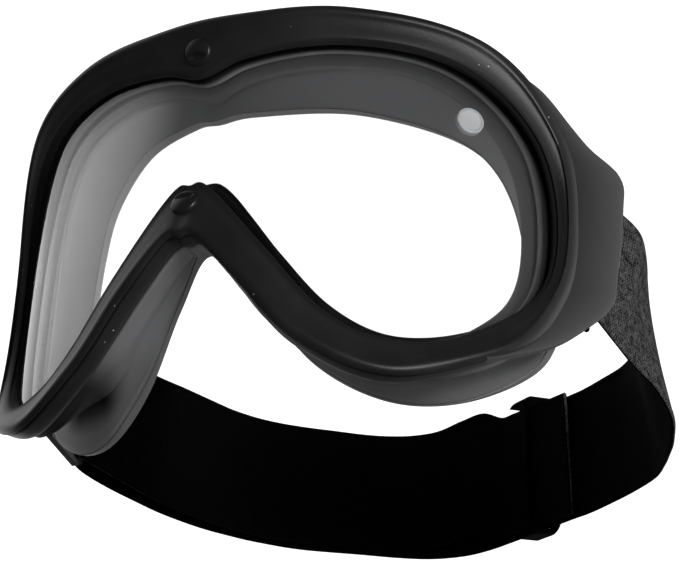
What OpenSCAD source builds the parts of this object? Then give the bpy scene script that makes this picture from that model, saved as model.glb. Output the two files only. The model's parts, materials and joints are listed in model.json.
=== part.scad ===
// Tactical goggles with a wide cylindrical double lens, a moulded face skirt and an elastic webbing strap.
// The wearer's left is +X, the lens faces -Y, and the goggles rest on both cheeks and on the strap's slider.

/* [Lens opening] */
// Width of the lens opening, measured across the curved front
opening_w = 160; // [152:1:168]
// Height of the lens opening, from the brow to the cheeks
opening_h = 82; // [78:1:88]
// How much the lens's bending radius exceeds half the opening's width
lens_spare = 11.9; // [10:0.1:16]

/* [Front frame] */
// Width of the front face at the brow, from the opening to the ridge
brow_band = 16.6; // [14:0.1:20]
// Width of the front face over the nose
nose_band = 16.7; // [14:0.1:19]
// Height of the ridge that stands proud of the opening
ridge_proud = 3.8; // [3.2:0.1:4.4]
// Depth of the groove between the ridge and the second bead
groove_depth = 1.4; // [0.8:0.1:1.8]
// Depth of the frame behind the opening's surface
frame_back = 7; // [6.9:0.1:7.6]
// Cut at the lowest point of both cheeks, which they stand on
foot_cut = 0.4; // [0.3:0.1:0.6]
// Thickness of the side wings that carry the strap's pivots
wing_t = 3.2; // [2.8:0.1:3.6]
// Depth of the vents behind the second bead
vent_deep = 4; // [3:0.1:4.5]

/* [Lens pack] */
// Thickness of the outer lens
outer_lens_t = 2.2; // [2:0.1:2.4]
// Thickness of the inner anti-fog lens
inner_lens_t = 0.8; // [0.6:0.1:1]
// How far the lenses reach behind the front lip
lens_lap = 3; // [2.4:0.1:3.2]
// Width of the foam spacer between the lenses
spacer_w = 2.2; // [1.6:0.1:2.4]
// Thickness of the retainer behind the lenses
retainer_t = 1.6; // [1.2:0.1:1.8]
// Clearance round the lenses and between the stacked pieces
seam = 0.1; // [0.05:0.01:0.15]
// Clearance between the soft skirt, the cushion and what they seat on
soft_seam = 0.3; // [0.25:0.05:0.4]

/* [Face skirt and cushion] */
// Wall of the moulded skirt
skirt_wall = 2.4; // [2:0.1:2.8]
// Thickness of the foam cushion on the face flange
cushion_t = 3.2; // [2.8:0.1:4]
// Crown of the cushion
cushion_crown = 1.5; // [1:0.1:2]

/* [Small parts] */
// Diameter of the dome heads at the brow and the nose
stud_d = 7; // [6:0.1:8]
// Height of a dome head over the face
stud_h = 1.8; // [1.4:0.1:2.4]
// Diameter of a stud's shank
stud_shank_d = 3; // [2:0.1:4]
// Diameter of the pressure valve's disc
valve_d = 7.5; // [6:0.1:9]
// Diameter of the pivot pins
pin_d = 4; // [3:0.1:4.4]
// Radial clearance between a pivot pin and its clip
pin_fit = 0.08; // [0.05:0.01:0.1]

/* [Strap] */
// Width of the webbing
strap_w = 39.5; // [38:0.5:40.5]
// Thickness of the webbing
strap_t = 1.5; // [1.2:0.1:1.7]
// Gap that the webbing keeps to itself and to the plastic round it
strap_gap = 0.3; // [0.25:0.05:0.35]
// Thickness of the strap clips
clip_t = 2; // [1.8:0.1:2]
// Width of the clips' webbing slots
slot_w = 2.8; // [2.6:0.1:3]
// Length of the left clip from its pivot to its rear end
clip_left_l = 35; // [33:0.5:36]
// Length of the right clip from its pivot to its rear end
clip_right_l = 11; // [10.8:0.1:11.6]
// Thickness of the slider's bars
slider_t = 1.4; // [1.2:0.1:1.6]
// Width of the slider's bars
slider_bar_w = 2.6; // [2.2:0.1:3]
// Length of the slider along the strap
slider_l = 22; // [20:1:24]
// How much taller the slider is than the webbing
slider_spare = 5.5; // [5.5:0.1:9]

/* [Pose] */
// Backward lean of the goggles where they rest
lean = 7.5; // [7:0.1:8]

/* [Hidden] */

steps = 4;
half_w = opening_w / 2;
R = half_w + lens_spare;
$fn = 48;

// Lens opening, half outline from the brow's middle to the nose's middle, as shares of its width and height
opening_shape = [[0, 0.473], [0.16, 0.521], [0.466, 0.551], [0.769, 0.509], [0.948, 0.33], [0.998, 0.039],
    [0.954, -0.235], [0.77, -0.426], [0.586, -0.445], [0.435, -0.361], [0.273, -0.172], [0.069, 0.065],
    [0, 0.084]];
// Steps from the opening to the ridge across the front, the brow's and the nose's middles being set above
ridge_step = [[0, 0], [1.1, 11.7], [1.6, 8.5], [5.6, 6.9], [4.3, 2.4], [3, 1.5], [4.2, 1], [10.7, -1.1],
    [3.9, -11.2], [-5.2, -9.6], [-7.4, -7.8], [-1.4, -15.4], [0, 0]];
// Steps from the ridge to the outer edge of the face flange, seen from the front
flange_step = [[0, -5.4], [-0.4, -3.4], [-0.3, -2.7], [-6.7, -3.6], [-6.4, -1.6], [-6.5, -3], [-8, -1.2],
    [-5.4, 4.7], [2.1, 7.1], [8.3, -3.1], [8.8, -12.8], [7.2, -8.3], [0, 2.8]];
// Steps from the lens opening to the face opening, seen from the front
face_step = [[0, -7.4], [-3.7, -9.3], [-6.2, -8.2], [-9.6, -7.3], [-13.9, -2], [-13.4, 2.4], [-13.1, 7.5],
    [-7.5, 14.2], [-5.9, 12], [-5.8, 10], [-4, 6.7], [0.6, 3.1], [0, 4.9]];
// How far the skirt's wall draws in between the frame and the flange, from 0 to 1
waist_shape = [0.4, 0.4, 0.4, 0.5, 0.5, 0.5, 0.6, 0.8, 1, 1, 0.8, 0.5, 0.4];

function cr(a, b, c, d, u) = 0.5 * (2 * b + (c - a) * u + (2 * a - 5 * b + 4 * c - d) * u * u
    + (3 * b - a - 3 * c + d) * u * u * u);
function lerp(a, b, u) = a + (b - a) * u;
function unit(v) = v / norm(v);
function closed_spline(p) = let (n = len(p))
    [for (i = [0:n - 1], k = [0:steps - 1]) cr(p[(i + n - 1) % n], p[i], p[(i + 1) % n], p[(i + 2) % n], k / steps)];
function flipped(p) = is_num(p) ? p : concat([-p[0]], [for (i = [1:len(p) - 1]) p[i]]);
// A loop of stations, clockwise seen from the front, from its half outline
function round_loop(half) = closed_spline(concat(half, [for (i = [len(half) - 2:-1:1]) flipped(half[i])]));
function open_spline(p, n) = let (e = len(p) - 1)
    concat([for (i = [0:e - 1], k = [0:n - 1])
        cr(p[max(i - 1, 0)], p[i], p[i + 1], p[min(i + 2, e)], k / n)], [p[e]]);

function backwards(p) = [for (i = [len(p) - 1:-1:0]) p[i]];

last = len(opening_shape) - 1;
opening_half = [for (p = opening_shape) [p[0] * half_w, p[1] * opening_h]];
step_half = [for (i = [0:last]) i == 0 ? [0, brow_band] : i == last ? [0, -nose_band] : ridge_step[i]];
ridge_half = opening_half + step_half;
opening = round_loop(opening_half);
ridge = round_loop(ridge_half);
waist = round_loop(waist_shape);
N = len(opening);

// A point on the front: x and z on the lens surface, then a depth towards the face along the radius
function front_pt(p, d) = let (a = asin(p[0] / R)) [(R - d) * sin(a), R - (R - d) * cos(a), p[1]];
function band(i) = norm(ridge[i] - opening[i]);
// A point of station i, m from the opening towards the ridge and d deep
function fp(i, m, d) = front_pt(opening[i] + unit(ridge[i] - opening[i]) * m, d);

// The face flange bends back towards the temples more than the lens does
function soft_x(x) = sqrt(x * x + 16) / 80;
function flange_y(x) = 10 + 60.6 * soft_x(x) - 5.8 * soft_x(x) ^ 2;
function face_y(x) = 11 + 31.9 * soft_x(x) + 36.6 * soft_x(x) ^ 2;
ridge_front = [for (p = ridge_half) [p[0] * (R + 3.5) / R, p[1]]];
flange_half = [for (i = [0:last]) let (p = ridge_front[i] + flange_step[i]) [p[0], flange_y(p[0]), p[1]]];
face_half = [for (i = [0:last]) let (p = opening_half[i] + face_step[i]) [p[0], face_y(p[0]), p[1]]];
flange = round_loop(flange_half);
face = round_loop(face_half);

// Front frame
lip_back = 1.5;
pocket_in = lens_lap + 0.3;
wall_min = 0.8;
function pocket(i) = min(pocket_in, band(i) - groove_depth - wall_min);
// The vents are a trough behind the second bead, open to the skirt
vent_front = 4.7;
top_vent = [1, 11];
cheek_vent = [30, 38];
function ramp(i, run) = min(1, max(0, min(i - run[0], run[1] - i)));
function mirror_i(i) = min(i, N - i);
function vent(i) = max(ramp(mirror_i(i), cheek_vent), ramp(mirror_i(i), top_vent));
function trough(i) = min(vent_deep, band(i) - pocket(i) - groove_depth - 1.6);

function frame_section(i) = let (w = band(i), u = w - 2, p = pocket(i), v = vent(i), b = w - groove_depth)
    [for (q = [[0, lip_back], [0, 0.3], [0.12 * u, -0.5], [0.3 * u, -1.5], [0.65 * u, -3], [u, -ridge_proud],
        [w - 0.6, 0.3 - ridge_proud], [w, -2.2], [w - 0.1, -0.4], [b, 0.7],
        [b, 1.5], [w - 0.1, 2.4], [w + 0.1, 4], [w - 0.5, lerp(5.8, 4.6, v)],
        [b - trough(i) * v, lerp(frame_back, vent_front, v)], [b - 0.1 - trough(i) * v, frame_back],
        [p, frame_back], [p, lip_back]]) fp(i, q[0], q[1])];

// Rest pose: the goggles lean back until the cheeks and the slider share the ground
function rest_z(p) = p[2] * cos(lean) - p[1] * sin(lean);
function rest_y(p) = p[1] * cos(lean) + p[2] * sin(lean);
frame_pts = [for (i = [0:N - 1], q = frame_section(i)) q];
lift = -min([for (q = frame_pts) rest_z(q)]) - foot_cut;
front_end = min([for (q = frame_pts) rest_y(q)]);

// Side wings: flat plates from the ridge, seen square on, running back and outwards
wing_inset = 5.9;
wing_at = [R - wing_inset, 50];
wing_turn = 55;
wing_dir = [cos(wing_turn), sin(wing_turn)];
wing_edge = [[-8.6, 36.7], [-2.7, 32], [3.2, 27.6], [9.2, 25], [12.1, 23.1], [13.9, 19.6], [13.6, 13.9],
    [12.8, 3.3], [11.3, -6.9], [10.4, -13.5], [7.8, -18.1], [3.7, -22.1], [-2.7, -27.6], [-6.8, -30.6]];
wing_root = [for (i = [26:-1:15]) let (p = fp(i, band(i) - 1.2, -2.5))
    [(p[0] - wing_at[0]) * wing_dir[0] + (p[1] - wing_at[1]) * wing_dir[1], p[2]]];

pin_y = 57;
pin_z = 2;
clip_inset = 10.1;
clip_gap = 0.15;
pin_l = 6.3;
clip_x = R - clip_inset;
boss_x = clip_x + clip_t + clip_gap;
pin_tip = clip_x + pin_l;
// Strap side: clips lie square to the pivots and hang at the strap's own slope
pivot_at = [0, rest_y([0, pin_y, pin_z]), rest_z([0, pin_y, pin_z]) + lift];
slope = 22;
function slung(x, u, v) = [x, pivot_at[1] + u * cos(slope) + v * sin(slope),
    pivot_at[2] - u * sin(slope) + v * cos(slope)];
lug_r = 4.2;
slot_spare = 0.6;
rail = 1.8;
bar_w = 2.5;

v_left = 0.5;
v_right = 4;

// Strap: one band of webbing; each point is x, y, the height of its lower edge, its lean to the rear and its
// roll, which brings the upper edge inwards
drawn_x = 81.8;
spread = clip_x / drawn_x;
run_at = [22 * spread, 188];
run_turn = -38.7;
run_dir = [cos(run_turn), sin(run_turn)];
run_out = [-sin(run_turn), cos(run_turn)];
run_z = 1.6;
function on_run(e1, e2) = run_at + run_dir * e1 + run_out * e2;
function spaced(p) = [for (q = p) concat([q[0] * spread], [for (k = [1:4]) q[k]])];
layer = strap_t + strap_gap;
tail_z = [[22, 2.4], [10, 2.8], [0, 3.2], [-10, 3.6], [-17, 4.2]];
tail_run = [for (t = tail_z) let (q = on_run(t[0], -layer)) [q[0], q[1], t[1], 0, 0]];
inner_route = concat(tail_run, spaced([[0, 200, 7.4, 0, 0], [-9, 203, 6.6, 0, 0], [-19, 206, 5, 0, 0],
    [-28, 205, 4.4, 0, 0], [-36, 201, 4.3, 0, 0], [-42, 194, 4, 0, 0], [-48, 185, 3.8, 0, 0],
    [-54, 176, 3.6, 0, 0], [-59, 166, 3.3, 0, 0], [-62.5, 155, 3, 0, 0], [-64.5, 143, 2.8, 0, 0],
    [-65, 133, 2.7, 0, 0], [-65.5, 113, 2.6, 4, 0], [-67.5, 98, 4, 12, 0], [-73, 90, 8, 18, 0]]));
outer_route = spaced([[-84, 86, 11, 21, 0], [-80, 93.5, 7.6, 16, 0], [-75, 101, 4.4, 10, 0], [-71.5, 111, 2.2, 5, 0],
    [-70, 131, 1.8, 0, 0], [-67.5, 148, 1.9, 0, 0], [-64, 161, 1.9, 0, 0], [-57, 177, 1.9, 0, 0],
    [-43, 194, 1.9, 0, 0], [-34, 205, 1.9, 0, 0], [-25, 212, 1.9, 0, 0], [-14, 213, 1.9, 0, 0],
    [-3, 207.5, 1.7, 0, 0]]);
main_run = [for (e = [-17, 0, 20]) let (q = on_run(e, 0)) [q[0], q[1], run_z, 0, 0]];
right_route = spaced([[45, 170.5, 1.8, 0, 0], [54, 163, 2.2, 0, 0], [64, 153, 2.4, 0, 0], [75, 138.5, 2.1, 0, 4],
    [82, 124, 1.7, 0, 10], [86.5, 113, 1.4, 3, 14], [90.5, 104, 2.7, 8, 16], [93, 96, 7, 15, 14],
    [92.5, 88, 13, 20, 8], [90, 79, 17.8, 22, -1], [87, 70, 21, 22, -4]]);

// The webbing turns round the front edge of a clip's rear bar, from its inner to its outer side
turn_r = strap_t / 2 + strap_gap;
turn_arc = [for (a = [180:30:270]) [turn_r * cos(a), turn_r * sin(a)]];
function leaning(p, t) = [p[0], p[1], p[2], t, 0];
function bar_turn(side, l, v0) = [for (q = concat([[-turn_r, 0.8]], turn_arc,
    [for (p = backwards(turn_arc)) [clip_t - p[0], p[1]]], [[clip_t + turn_r, 0.8]]))
    leaning(slung(side * (clip_x + q[0]), l - bar_w + q[1], v0 - strap_w / 2), slope)];
left_turn = bar_turn(-1, clip_left_l, v_left);
right_turn = backwards(bar_turn(1, clip_right_l, v_right));
right_end = leaning(slung(clip_x - turn_r, clip_right_l + 4, v_right - strap_w / 2), slope);

function without_last(p) = [for (i = [0:len(p) - 2]) p[i]];
band_line = concat(without_last(open_spline(concat(inner_route, [left_turn[0]]), 2)),
    without_last(left_turn),
    without_last(open_spline(concat([left_turn[len(left_turn) - 1]], outer_route, main_run, right_route,
        [right_turn[0]]), 2)), right_turn, [right_end]);
band_low = [for (p = band_line) [p[0], p[1], p[2]]];
function along(i) = let (e = len(band_low) - 1)
    unit((i < e ? unit(band_low[i + 1] - band_low[i]) : [0, 0, 0])
        + (i > 0 ? unit(band_low[i] - band_low[i - 1]) : [0, 0, 0]));
band_sections = [for (i = [0:len(band_line) - 1]) let (q = band_line[i], t = along(i),
    leant = [0, sin(q[3]), cos(q[3])], up = leant * cos(q[4]) + unit(cross(t, leant)) * sin(q[4]),
    side = unit(cross(t, up)) * strap_t / 2, low = band_low[i], high = low + up * strap_w)
    [low - side, low + side, high + side, high - side]];
back_end = max([for (s = band_sections, q = s) q[1]]);
mid_y = (front_end + back_end) / 2;

module at_rest() translate([0, -mid_y, lift]) rotate([-lean, 0, 0]) children();
module on_table() translate([0, -mid_y, 0]) children();
module at_pivot() translate(pivot_at) rotate([-slope, 0, 0]) children();

// A closed ring, or an open run with end caps, through sections of equal point counts; crossed picks the other
// diagonal of each quad, so that two facing skins fold alike
module sweep(sections, closed = true, crossed = false) {
    n = len(sections[0]);
    count = len(sections);
    spans = closed ? count : count - 1;
    polyhedron([for (s = sections, p = s) p],
        concat([for (i = [0:spans - 1], j = [0:n - 1], t = [0, 1])
            let (a = i * n + j, b = i * n + (j + 1) % n, c = ((i + 1) % count) * n + (j + 1) % n,
                d = ((i + 1) % count) * n + j)
            t == 0 ? (crossed ? [a, b, d] : [a, b, c]) : (crossed ? [b, c, d] : [a, c, d])],
            closed ? [] : [[for (j = [n - 1:-1:0]) j], [for (j = [0:n - 1]) (count - 1) * n + j]]));
}

module x_rod(x0, x1, r) translate([x0, pin_y, pin_z]) rotate([0, 90, 0]) cylinder(h = x1 - x0, r = r);

module wing() {
    translate([wing_at[0], wing_at[1], 0]) rotate([0, 0, wing_turn]) rotate([90, 0, 0])
        translate([0, 0, -wing_t]) linear_extrude(wing_t) polygon(concat(wing_edge, wing_root));
    x_rod(boss_x, pin_tip + 0.2, pin_d / 2 + 1.6);
}

module both_sides() {
    children();
    mirror([1, 0, 0]) children();
}

module front_frame() {
    color("#1c1d1f") difference() {
        at_rest() difference() {
            union() {
                sweep([for (i = [0:N - 1]) frame_section(i)]);
                both_sides() wing();
            }
            both_sides() x_rod(boss_x - 1, pin_tip, pin_d / 2);
            both_studs() stud_seat();
        }
        translate([-opening_w, -2 * opening_w, -foot_cut - 1])
            cube([2 * opening_w, 4 * opening_w, foot_cut + 1]);
    }
}

// Lens pack, front to back: outer lens, foam spacer, inner lens, retainer
outer_lens_at = lip_back + seam / 2;
spacer_at = outer_lens_at + outer_lens_t + seam / 2;
inner_lens_at = frame_back - 0.1 - inner_lens_t;
retainer_at = frame_back + seam;
function lens_m(i) = pocket(i) - 0.4;
lens_edge = [for (i = [0:N - 1]) opening[i] + unit(ridge[i] - opening[i]) * lens_m(i)];
lens_right = [for (i = [0:N / 2]) lens_edge[i]];
lens_tip = max([for (p = lens_right) p[0]]);
lens_top = [for (p = lens_right) if (p[1] > 4) p];
lens_low = [for (i = [N / 2:-1:0]) if (lens_right[i][1] <= 4 || i > N / 3) lens_right[i]];
columns = 48;

module lens(d, t) {
    sweep([for (k = [-columns:columns]) let (x = (lens_tip - 0.05) * sin(90 * k / columns), ax = abs(x),
        hi = lookup(ax, lens_top), lo = min(lookup(ax, lens_low), hi - 0.5))
        [front_pt([x, lo], d), front_pt([x, hi], d), front_pt([x, hi], d + t), front_pt([x, lo], d + t)]], false);
}

module lens_outer() color("#3a3c40") at_rest() lens(outer_lens_at, outer_lens_t);
module lens_inner() color("#45474b") at_rest() lens(inner_lens_at, inner_lens_t);

module lens_spacer() {
    back = inner_lens_at - seam;
    color("#2a2b2d") at_rest() sweep([for (i = [0:N - 1])
        let (m1 = lens_m(i) - 0.2, m0 = max(m1 - spacer_w, m1 - 0.6 * lens_m(i) - 0.5))
        [fp(i, m0, back), fp(i, m0, spacer_at), fp(i, m1, spacer_at), fp(i, m1, back)]]);
}

seat_m = 3.2;
module lens_retainer() {
    color("#232426") at_rest() sweep([for (i = [0:N - 1]) let (m1 = band(i) - seat_m - seam, m0 = -0.6,
        d1 = retainer_at + retainer_t)
        [fp(i, m0, d1), fp(i, m0, retainer_at), fp(i, m1, retainer_at), fp(i, m1, d1)]]);
}

valve_inset = 14;
valve_at = [half_w - valve_inset, 29.7];
module pressure_valve() {
    a = asin(valve_at[0] / R);
    color("#b9bbbd") at_rest() translate([0, R, valve_at[1]]) rotate([0, 0, a]) rotate([90, 0, 0])
        translate([0, 0, R - inner_lens_at + 0.1]) cylinder(h = 1.6, r = valve_d / 2);
}

// Dome studs on the brow and the nose, seated square to the sloping face
stud_slope = 16;
stud_sink = 0.5;
shank_l = 3.5;
stud_seat_d = -2.1;
brow_stud_z = 45.1;
nose_stud_z = 0.6;
module at_stud(z, up) translate([0, stud_seat_d, z]) rotate([90 + up * stud_slope, 0, 0])
    translate([0, 0, -stud_sink]) children();
module both_studs() {
    at_stud(brow_stud_z, 1) children();
    at_stud(nose_stud_z, -1) children();
}
module stud_seat() {
    cylinder(h = 6, r = stud_d / 2 + 0.25);
    translate([0, 0, -shank_l - 0.2]) cylinder(h = shank_l + 1, r = stud_shank_d / 2);
}
module stud() {
    edge_h = stud_h * 0.45;
    dome_r = (stud_d ^ 2 / 4 + (stud_h - edge_h) ^ 2) / (2 * (stud_h - edge_h));
    translate([0, 0, 0.02]) {
        cylinder(h = edge_h, r = stud_d / 2);
        translate([0, 0, -shank_l]) cylinder(h = shank_l + 0.1, r = stud_shank_d / 2 - 0.02);
        intersection() {
            translate([0, 0, stud_h - dome_r]) sphere(r = dome_r, $fn = 64);
            cylinder(h = stud_h + 1, r = stud_d / 2);
        }
    }
}
module brow_stud() color("#101112") at_rest() at_stud(brow_stud_z, 1) stud();
module nose_stud() color("#101112") at_rest() at_stud(nose_stud_z, -1) stud();

// Face skirt: from the frame's back edge it draws in and flares to the face flange
skirt_at = frame_back + soft_seam;
function skirt_front(i) = fp(i, band(i) - 1.5, skirt_at);
function cushion_dir(i) = unit(flange[i] - skirt_front(i));
function flange_front(i) = flange[i] - cushion_dir(i) * cushion_t;
function face_front(i) = face[i] - [0, cushion_t, 0];
module face_skirt() {
    back = retainer_at + retainer_t + soft_seam;
    color("#5a5c60") at_rest() sweep([for (i = [0:N - 1]) let (w = band(i), s1 = skirt_front(i),
        s5 = flange_front(i), s6 = face_front(i), s8 = fp(i, min(0.4, w - seat_m - 0.2), back),
        s7 = lerp(s8, s6, 0.5), s9 = fp(i, w - seat_m, back),
        out = unit(lerp(s1, s5, 0.5) - s7), s3 = lerp(lerp(s1, s5, 0.6), s7 + out * skirt_wall, waist[i]))
        [s8, s9, fp(i, w - seat_m, skirt_at), s1, lerp(s1, s5, 0.22), s3, s5 - [0, 2.2, 0], s5, s6, s7]]);
}

module face_cushion() {
    color("#3b3c3f") at_rest() sweep([for (i = [0:N - 1]) let (g = cushion_dir(i) * soft_seam, f = flange[i],
        c = [0, cushion_crown, 0])
        [face_front(i) + [0, soft_seam, 0], flange_front(i) + g, f, lerp(f, face[i], 0.25) + c,
            lerp(f, face[i], 0.6) + c, face[i]]], crossed = true);
}

// Foam strips in the vents
module vent_foam(run, side = 1) {
    color("#2e2f31") at_rest() mirror([side < 0 ? 1 : 0, 0, 0]) sweep([for (i = [run[0] + 1:run[1] - 1])
        let (m0 = band(i) - groove_depth - trough(i) + 0.2, m1 = m0 + trough(i) * 0.5)
        [fp(i, m0, frame_back - 0.2), fp(i, m0, vent_front + 0.3), fp(i, m1, vent_front + 0.3),
            fp(i, m1, frame_back - 0.2)]], false);
}
module brow_foam_left() vent_foam(top_vent);
module brow_foam_right() vent_foam(top_vent, -1);
module cheek_foam_left() vent_foam(cheek_vent);
module cheek_foam_right() vent_foam(cheek_vent, -1);

// Pivot pins, pressed into the wings
module pivot_pin() {
    x_rod(clip_x - 0.1, pin_tip - 0.1, pin_d / 2);
    x_rod(clip_x - 1.2, clip_x - 0.1, pin_d / 2 + 1.2);
}
module pivot_pin_left() color("#2b2c2e") at_rest() pivot_pin();
module pivot_pin_right() color("#2b2c2e") at_rest() mirror([1, 0, 0]) pivot_pin();

// A strap clip: outline in the plane of the strap, v0 being the height of the webbing's middle
module strap_clip(outline, length, v0) {
    h = strap_w / 2 + slot_spare;
    translate([clip_x, 0, 0]) rotate([90, 0, 90]) difference() {
        union() {
            cylinder(h = clip_t, r = lug_r);
            linear_extrude(clip_t) polygon(outline);
        }
        translate([length - bar_w - slot_w, v0 - h, -1]) cube([slot_w, 2 * h, clip_t + 2]);
        translate([0, 0, -1]) cylinder(h = clip_t + 2, r = pin_d / 2 + pin_fit);
    }
}

// A clip's neck: where it begins to widen, its half height there, and where it has its full height
left_neck = [10, 15, 18];
right_neck = [3.2, 14, 5.4];
neck_x = -1.2;
neck_h = 3.6;
corner = 2;
function clip_outline(l, v0, neck) = let (a = strap_w / 2 + slot_spare + rail)
    [[neck_x, neck_h], [neck[0], v0 + neck[1]], [neck[2], v0 + a], [l - corner, v0 + a], [l, v0 + a - corner],
        [l, v0 - a + corner], [l - corner, v0 - a], [neck[2], v0 - a], [neck[0], v0 - neck[1]],
        [neck_x, -neck_h]];
module strap_clip_left() color("#242527") on_table() at_pivot()
    mirror([1, 0, 0]) strap_clip(clip_outline(clip_left_l, v_left, left_neck), clip_left_l, v_left);
module strap_clip_right() color("#242527") on_table() at_pivot()
    strap_clip(clip_outline(clip_right_l, v_right, right_neck), clip_right_l, v_right);

module strap_band() color("#2f3033") on_table() sweep(band_sections, false);

// Slider: both end bars lie outside the two layers, the middle bar inside them
slider_h = strap_w + slider_spare;
rail_h = 1.2;
ring_h = 1.8;
slider_r = 7;
module round_plate(w, h, r) {
    translate([-w / 2, r]) square([w, h - 2 * r]);
    translate([r - w / 2, 0]) square([w - 2 * r, h]);
    for (x = [r - w / 2, w / 2 - r], y = [r, h - r]) translate([x, y]) circle(r = r);
}
module upright(y0, y1) translate([0, y1, 0]) rotate([90, 0, 0]) linear_extrude(y1 - y0) children();
module strap_slider() {
    outer = strap_t / 2 + strap_gap;
    inner = -outer - layer;
    window_w = slider_l - 2 * slider_bar_w;
    inner_w = (slider_l - slider_bar_w) / 2 + 1;
    color("#17181a") on_table() translate([run_at[0], run_at[1], 0]) rotate([0, 0, run_turn]) difference() {
        upright(inner - slider_t, outer + slider_t) round_plate(slider_l, slider_h, slider_r);
        upright(inner, outer) translate([-slider_l / 2 - 1, rail_h])
            square([slider_l + 2, slider_h - 2 * rail_h]);
        upright(outer - 0.5, outer + slider_t + 1) translate([0, ring_h])
            round_plate(window_w, slider_h - 2 * ring_h, slider_r - slider_bar_w);
        for (x = [slider_bar_w / 2, -slider_bar_w / 2 - inner_w])
            upright(inner - slider_t - 1, inner + 0.5) translate([x, rail_h])
                square([inner_w, slider_h - 2 * rail_h]);
    }
}

front_frame();
lens_outer();
lens_spacer();
lens_inner();
lens_retainer();
pressure_valve();
brow_stud();
nose_stud();
face_skirt();
face_cushion();
brow_foam_left();
brow_foam_right();
cheek_foam_left();
cheek_foam_right();
pivot_pin_left();
pivot_pin_right();
strap_clip_left();
strap_clip_right();
strap_band();
strap_slider();
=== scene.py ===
"""Tactical goggles: the looks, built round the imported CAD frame. Sizes are in mm until a mesh is made."""
import json
import math

import bpy
import numpy as np
from mathutils import Matrix, Vector


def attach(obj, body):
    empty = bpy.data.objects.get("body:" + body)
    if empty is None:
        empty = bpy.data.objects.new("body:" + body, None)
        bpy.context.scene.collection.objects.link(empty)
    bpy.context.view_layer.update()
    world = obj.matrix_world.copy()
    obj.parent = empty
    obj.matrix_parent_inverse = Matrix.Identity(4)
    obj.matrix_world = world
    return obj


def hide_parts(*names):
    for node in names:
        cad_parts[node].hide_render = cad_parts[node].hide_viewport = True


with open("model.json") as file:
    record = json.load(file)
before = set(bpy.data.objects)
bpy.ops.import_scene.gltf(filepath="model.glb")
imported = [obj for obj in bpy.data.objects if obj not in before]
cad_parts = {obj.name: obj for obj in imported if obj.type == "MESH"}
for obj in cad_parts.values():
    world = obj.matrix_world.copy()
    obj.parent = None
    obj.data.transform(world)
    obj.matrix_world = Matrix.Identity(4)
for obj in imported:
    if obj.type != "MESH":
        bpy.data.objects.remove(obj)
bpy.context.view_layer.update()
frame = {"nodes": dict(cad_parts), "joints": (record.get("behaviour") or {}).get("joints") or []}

# Sizes shared with the CAD source
OPENING_W, OPENING_H, LENS_R = 160.0, 82.0, 91.9
BROW_BAND, NOSE_BAND, RIDGE, GROOVE = 16.6, 16.7, 3.8, 1.4
LIP_T, FRAME_BACK, WING_T, VENT_DEEP = 1.5, 7.0, 3.2, 4.0
LENS_T, INNER_T, LENS_LAP, SPACER_W, RETAINER_T = 2.2, 0.8, 3.0, 2.2, 1.6
SEAM, SOFT_SEAM = 0.1, 0.3
SKIRT_WALL, CUSHION_T, CUSHION_CROWN = 2.4, 3.2, 1.5
STRAP_W, STRAP_T, STRAP_GAP, CLIP_T = 39.5, 1.5, 0.3, 2.0
CLIP_X, CLIP_LEFT_L, CLIP_RIGHT_L, BAR_W = 81.8, 35.0, 11.0, 2.5
PIN_Y, PIN_Z = 57.0, 2.0
LEAN, SLOPE_DEG = math.radians(7.5), 22
SLOPE = math.radians(SLOPE_DEG)

joints = {j["name"]: j for j in frame["joints"]}
pivot = np.array(joints["strap_swing"]["pos_m"]) * 1000
# The joint's place says how far the goggles were moved and raised after leaning back
MID_Y = PIN_Y * math.cos(LEAN) + PIN_Z * math.sin(LEAN) - pivot[1]
LIFT = pivot[2] - (PIN_Z * math.cos(LEAN) - PIN_Y * math.sin(LEAN))

# Half outlines from the brow's middle to the nose, as the lens opening's shares of width and height, and as
# steps from the opening to the ridge, from the ridge to the flange and from the opening to the face
OPENING = [[0, 0.473], [0.16, 0.521], [0.466, 0.551], [0.769, 0.509], [0.948, 0.33], [0.998, 0.039],
           [0.954, -0.235], [0.77, -0.426], [0.586, -0.445], [0.435, -0.361], [0.273, -0.172],
           [0.069, 0.065], [0, 0.084]]
RIDGE_STEP = [[0, BROW_BAND - 0.8], [1.1, 11.6], [1.6, 9.1], [5.6, 6.9], [4.3, 2.4], [3, 1.5], [4.2, 1],
              [10.7, -1.1], [3.9, -11.2], [-5.2, -9.6], [-7.4, -7.8], [-1.4, -15.4], [0, -NOSE_BAND]]
FLANGE_STEP = [[0, -5.4], [-0.4, -3.4], [-0.3, -2.7], [-6.7, -3.6], [-6.4, -1.6], [-6.5, -3], [-8, -1.2],
               [-5.4, 4.7], [2.1, 7.1], [8.3, -3.1], [8.8, -12.8], [7.2, -8.3], [0, 2.8]]
FACE_STEP = [[0, -7.4], [-3.7, -9.3], [-6.2, -8.2], [-9.6, -7.3], [-13.9, -2], [-13.4, 2.4], [-12.3, 6.2],
             [-7.3, 12.2], [-5.9, 9.9], [-5.8, 8.6], [-4, 6.2], [0.6, 3.1], [0, 4.9]]
# Share by which the skirt is drawn in to its waist, at each point of the half outlines
WAIST = [0.2, 0.2, 0.2, 0.3, 0.4, 0.4, 0.6, 0.9, 1, 0.4, 0, -0.1, 0]

CAD_STATIONS, CAD_STEPS, STEPS, PROFILE_STEPS = 96, 4, 16, 3
# Stations here to each of the CAD's
PER = STEPS // CAD_STEPS


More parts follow.
